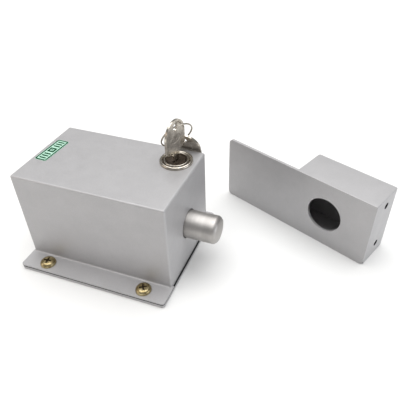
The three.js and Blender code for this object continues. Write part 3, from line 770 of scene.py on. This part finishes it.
def buildKey(name, node, body, origin, turn, tilt=0.0):
    form = keyForm
    half, wide = form["thick"] / 2, form["wide"] / 2
    top = form["holeDrop"]
    bottom = top - form["high"]
    bm = blockBetween((-half, -wide, bottom), (half, wide, top))
    domes = edgesWhere(bm, lambda a, b: abs(a.x - b.x) > apart and a.z > 0)
    bevelEdges(bm, domes, form["dome"], form["domeSteps"])
    corners = edgesWhere(bm, lambda a, b: abs(a.x - b.x) > apart and abs(a.z - bottom) < near
                         and min(abs(a.y), abs(b.y)) > wide - near)
    bevelEdges(bm, corners, form["corner"], form["cornerSteps"])
    roundHole(bm, (0, 0, 0), "x", form["hole"], margin=0.9, side=8)
    buildBlade(bm, bottom)
    buildBadges(bm, top)
    lean = Matrix.Rotation(math.radians(tilt), 4, "X")
    stand = Matrix.Translation(origin) @ lean @ Matrix.Rotation(math.radians(turn), 4, "Z")
    addPiece(bm, name, body, [node], ["polishedNickel"], matrix=stand, soften=form["edge"])


def buildKeys():
    form = keyForm
    lock = middleOf("lock_cylinder")
    hole = place(lock.x, lock.y, boxOf("key")[1].z - form["holeDrop"])
    buildKey("key_in_lock", "key", "key_in_use", hole, form["turn"])
    buildKey("second_key", "spare_key", "spare_key", Vector(joints["spare_key_swing"]["pos_m"]),
             form["spareTurn"], form["spareTilt"])


ringForm = {
    "radius": 11.5, "lean": (-0.695, -0.556, -0.457), "turns": 1.94, "steps": 130,
    "wire": 0.48, "flatten": 0.5, "wireSides": 10, "pitch": 0.51,     # wire is half of its width
}


def buildRing():
    form = ringForm
    first = Vector(joints["ring_lift"]["pos_m"])
    second = Vector(joints["spare_key_swing"]["pos_m"])
    chord = second - first
    half = chord.length / 2
    chord.normalize()
    lean = Vector(form["lean"])
    lean = (lean - chord * lean.dot(chord)).normalized()
    centre = (first + second) / 2 + lean * math.sqrt((form["radius"] * mm) ** 2 - half ** 2)
    normal = chord.cross(lean)
    turn = normal.to_track_quat("Z", "Y").to_matrix().to_4x4()
    rise = form["pitch"] * form["turns"]
    bm = bmesh.new()
    flattened = Matrix.Diagonal((1, form["flatten"], 1, 1))
    section = standAt(place(form["radius"], 0, -rise / 2), 90, "X") @ flattened
    bmesh.ops.create_circle(bm, segments=form["wireSides"], radius=form["wire"] * mm, matrix=section)
    bmesh.ops.spin(bm, geom=bm.verts[:] + bm.edges[:], cent=(0, 0, 0), axis=(0, 0, 1),
                   dvec=place(0, 0, rise / form["steps"]),
                   angle=2 * math.pi * form["turns"], steps=form["steps"], use_duplicate=False)
    bmesh.ops.holes_fill(bm, edges=[e for e in bm.edges if e.is_boundary], sides=0)
    addPiece(bm, "split_ring", "key_ring", ["key_ring"], ["polishedNickel"],
             matrix=Matrix.Translation(centre) @ turn, sharp=60)


# Strike: face plate with the bolt's hole, and the folded box behind it

strikeForm = {
    "turn": -23.06, "plate": 2.0, "length": 129.6, "corner": 4.0, "crisp": 1.0, "cornerSteps": 10,
    "holeAlong": 92.65, "holeUp": 26.95, "hole": 13.75, "edge": 0.3, "edgeSteps": 3,
    "boxLength": 64.0, "depth": 30.2, "wall": 1.5, "bend": 1.5, "bendSteps": 6, "rim": 0.6, "rimSteps": 4,
    "screwHole": 2.5, "screwUp": (11.4, 46.3), "screwBack": 16.0,
}


def buildStrike():
    form = strikeForm
    low, high = boxOf("strike_plate")
    length, front, tall = form["length"], form["plate"], high.z - low.z
    foot = place(low.x, high.y - front * math.cos(math.radians(form["turn"])), low.z)
    stand = standAt(foot, form["turn"])
    bm = blockBetween((0, 0, 0), (length, front, tall))
    crisp = edgesWhere(bm, lambda a, b: abs(a.y - b.y) > apart and a.x > length - apart
                       and a.z > tall - apart)
    bevelEdges(bm, crisp, form["crisp"], form["cornerSteps"])
    rounded = edgesWhere(bm, lambda a, b: abs(a.y - b.y) > apart and (a.x < apart or a.z < apart)
                         and min(a.z, tall - a.z) < near and min(a.x, length - a.x) < near)
    bevelEdges(bm, rounded, form["corner"], form["cornerSteps"])
    roundHole(bm, (form["holeAlong"], 0, form["holeUp"]), "y", form["hole"], margin=2, side=16)
    bm.normal_update()
    ahead = edgesWhere(bm, lambda a, b: a.y < near and b.y < near)
    bevelEdges(bm, [e for e in ahead if e.calc_face_angle(0) > cornerAngle], form["edge"], form["edgeSteps"])
    addPiece(bm, "strike_face", "strike", ["strike_plate"], ["silverEnamel"], matrix=stand)
    bm = blockBetween((length - form["boxLength"], front, 0), (length, form["depth"], tall))
    bmesh.ops.delete(bm, geom=[f for f in bm.faces if f.normal.y < -flat], context="FACES")
    back = edgesWhere(bm, lambda a, b: min(a.y, b.y) > front + apart and abs(a.z - b.z) > apart)
    bevelEdges(bm, back, form["bend"], form["bendSteps"])
    rims = [e for e in bm.edges if len(e.link_faces) == 2 and e.calc_face_angle(0) > cornerAngle
            and any(abs(f.normal.z) > flat for f in e.link_faces)]
    bevelEdges(bm, rims, form["rim"], form["rimSteps"])
    for f in bm.faces:          # the last look, as on the cover
        f.material_index = 2
    for up in form["screwUp"]:
        roundHole(bm, (length, form["screwBack"], up), "x", form["screwHole"], margin=1.5, side=8, reach=1)
    bmesh.ops.recalc_face_normals(bm, faces=bm.faces)
    if max(bm.faces, key=lambda f: f.calc_center_median().z).normal.z < 0:
        bmesh.ops.reverse_faces(bm, faces=bm.faces)
    # the sheet's cut edges and hole rims take the second look, bare steel painted near black as shade
    addPiece(bm, "strike_case", "strike", ["strike_box"],
             ["silverEnamel", "bareEdgeAndPaintedShade", "silverEnamel"],
             matrix=stand, wall=form["wall"], rim=1, outward=True)


# Pieces that keep their own mesh take a finish each

nodeFinishes = {
    "blackRubber": ["cover_gasket"],
    "brightZinc": ["bolt_carrier", "carrier_screw_1", "carrier_screw_2", "solenoid_frame", "solenoid_screw_1",
                   "solenoid_screw_2", "core_stop", "plunger", "link_pin", "release_pin", "cam", "cam_screw",
                   "cylinder_washer"],
    "blackNylon": ["bobbin", "terminal_block"],
    "windingTape": ["coil"],
    "redSilicone": ["coil_lead_1", "coil_lead_2"],
    "machinedBrass": ["terminal_screw_1", "terminal_screw_2"],
    "polishedNickel": ["cylinder_nut"],
    "springWire": ["bolt_spring"],
}


def finishNodes():
    for look, names in nodeFinishes.items():
        for name in names:
            mesh = frame["nodes"][name].data
            mesh.materials.clear()
            mesh.materials.append(finish(look))


buildCamera()
buildStudio()
print("camera and studio ready")
buildCover()
buildPlate()
buildScrews()
buildGrommet()
buildSticker()
print("housing ready")
buildBolt()
buildCylinder()
buildKeys()
buildRing()
print("bolt, cylinder and keys ready")
buildStrike()
print("strike ready")
finishNodes()
print("finishes ready")
